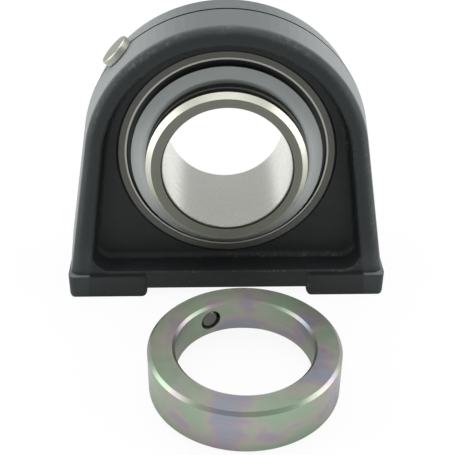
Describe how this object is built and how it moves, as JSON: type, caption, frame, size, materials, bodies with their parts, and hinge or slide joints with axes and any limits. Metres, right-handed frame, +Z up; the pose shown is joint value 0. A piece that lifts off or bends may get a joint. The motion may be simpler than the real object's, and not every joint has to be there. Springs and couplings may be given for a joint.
{
  "type": "plummer block bearing",
  "caption": "One-piece cast plummer block, short base with bottom-tapped feet, self-aligning ball insert and its eccentric locking collar lying in front.",
  "frame": {"origin": "in the foot plane, midway between the two tapped holes, under the bearing's centre", "axes": "+Z up; the shaft runs along Y, tilted by 3.9 degrees in its seat; the eccentric boss and the loose collar are on the -Y side; the feet lie along X"},
  "size_m": [0.1304, 0.1403, 0.1143],
  "materials": {
    "casting": "sand-cast, blue-grey",
    "plug_steel": "zinc plated, dull",
    "ring_steel": "ground bearing steel",
    "ball_steel": "polished bearing steel",
    "cage_polyamide": "moulded",
    "plate_steel": "dark pressed sheet",
    "seal_rubber": "moulded rubber",
    "flinger_steel": "pressed sheet",
    "collar_zinc": "turned, zinc plated with an iridescent passivation",
    "screw_steel": "blackened"
  },
  "bodies": {
    "base": {"housing": "casting", "lubrication_plug": "plug_steel", "locking_collar": "collar_zinc"},
    "insert": {"outer_ring": "ring_steel", "seal_plate_front": "plate_steel", "seal_plate_rear": "plate_steel", "seal_lip_front": "seal_rubber", "seal_lip_rear": "seal_rubber"},
    "spindle": {"inner_ring": "ring_steel", "flinger_front": "flinger_steel", "flinger_rear": "flinger_steel"},
    "cage_body": {"cage": "cage_polyamide"},
    "ball_01_body": {"ball_01": "ball_steel"},
    "ball_02_body": {"ball_02": "ball_steel"},
    "ball_03_body": {"ball_03": "ball_steel"},
    "ball_04_body": {"ball_04": "ball_steel"},
    "ball_05_body": {"ball_05": "ball_steel"},
    "ball_06_body": {"ball_06": "ball_steel"},
    "ball_07_body": {"ball_07": "ball_steel"},
    "ball_08_body": {"ball_08": "ball_steel"},
    "ball_09_body": {"ball_09": "ball_steel"},
    "ball_10_body": {"ball_10": "ball_steel"},
    "screw": {"grub_screw": "screw_steel"}
  },
  "joints": [
    {"name": "insert_tilt", "type": "hinge", "parent": "base", "child": "insert", "pos_m": [0, 0, 0.0572], "axis": [1, 0, 0], "range_deg": [-1.1, 8.9]},
    {"name": "shaft_spin", "type": "hinge", "parent": "insert", "child": "spindle", "pos_m": [0, 0, 0.0572], "axis": [0, 0.9977, -0.068], "continuous": true},
    {"name": "cage_spin", "type": "hinge", "parent": "insert", "child": "cage_body", "pos_m": [0, 0, 0.0572], "axis": [0, 0.9977, -0.068], "continuous": true},
    {"name": "ball_01_spin", "type": "hinge", "parent": "cage_body", "child": "ball_01_body", "pos_m": [0.035, 0, 0.0572], "axis": [0, 0.9977, -0.068], "continuous": true},
    {"name": "ball_02_spin", "type": "hinge", "parent": "cage_body", "child": "ball_02_body", "pos_m": [0.02832, 0.0014, 0.07772], "axis": [0, 0.9977, -0.068], "continuous": true},
    {"name": "ball_03_spin", "type": "hinge", "parent": "cage_body", "child": "ball_03_body", "pos_m": [0.01082, 0.00226, 0.09041], "axis": [0, 0.9977, -0.068], "continuous": true},
    {"name": "ball_04_spin", "type": "hinge", "parent": "cage_body", "child": "ball_04_body", "pos_m": [-0.01082, 0.00226, 0.09041], "axis": [0, 0.9977, -0.068], "continuous": true},
    {"name": "ball_05_spin", "type": "hinge", "parent": "cage_body", "child": "ball_05_body", "pos_m": [-0.02832, 0.0014, 0.07772], "axis": [0, 0.9977, -0.068], "continuous": true},
    {"name": "ball_06_spin", "type": "hinge", "parent": "cage_body", "child": "ball_06_body", "pos_m": [-0.035, 0, 0.0572], "axis": [0, 0.9977, -0.068], "continuous": true},
    {"name": "ball_07_spin", "type": "hinge", "parent": "cage_body", "child": "ball_07_body", "pos_m": [-0.02832, -0.0014, 0.03668], "axis": [0, 0.9977, -0.068], "continuous": true},
    {"name": "ball_08_spin", "type": "hinge", "parent": "cage_body", "child": "ball_08_body", "pos_m": [-0.01082, -0.00226, 0.02399], "axis": [0, 0.9977, -0.068], "continuous": true},
    {"name": "ball_09_spin", "type": "hinge", "parent": "cage_body", "child": "ball_09_body", "pos_m": [0.01082, -0.00226, 0.02399], "axis": [0, 0.9977, -0.068], "continuous": true},
    {"name": "ball_10_spin", "type": "hinge", "parent": "cage_body", "child": "ball_10_body", "pos_m": [0.02832, -0.0014, 0.03668], "axis": [0, 0.9977, -0.068], "continuous": true},
    {"name": "grub_travel", "type": "slide", "parent": "base", "child": "screw", "axis": [-0.4818, 0.8763, 0], "range_m": [-0.00055, 0.004]}
  ],
  "couplings": [
    {"joint": "cage_spin", "follows": "shaft_spin", "ratio": 0.4093},
    {"joint": "ball_01_spin", "follows": "shaft_spin", "ratio": -2.665},
    {"joint": "ball_02_spin", "follows": "shaft_spin", "ratio": -2.665},
    {"joint": "ball_03_spin", "follows": "shaft_spin", "ratio": -2.665},
    {"joint": "ball_04_spin", "follows": "shaft_spin", "ratio": -2.665},
    {"joint": "ball_05_spin", "follows": "shaft_spin", "ratio": -2.665},
    {"joint": "ball_06_spin", "follows": "shaft_spin", "ratio": -2.665},
    {"joint": "ball_07_spin", "follows": "shaft_spin", "ratio": -2.665},
    {"joint": "ball_08_spin", "follows": "shaft_spin", "ratio": -2.665},
    {"joint": "ball_09_spin", "follows": "shaft_spin", "ratio": -2.665},
    {"joint": "ball_10_spin", "follows": "shaft_spin", "ratio": -2.665}
  ]
}
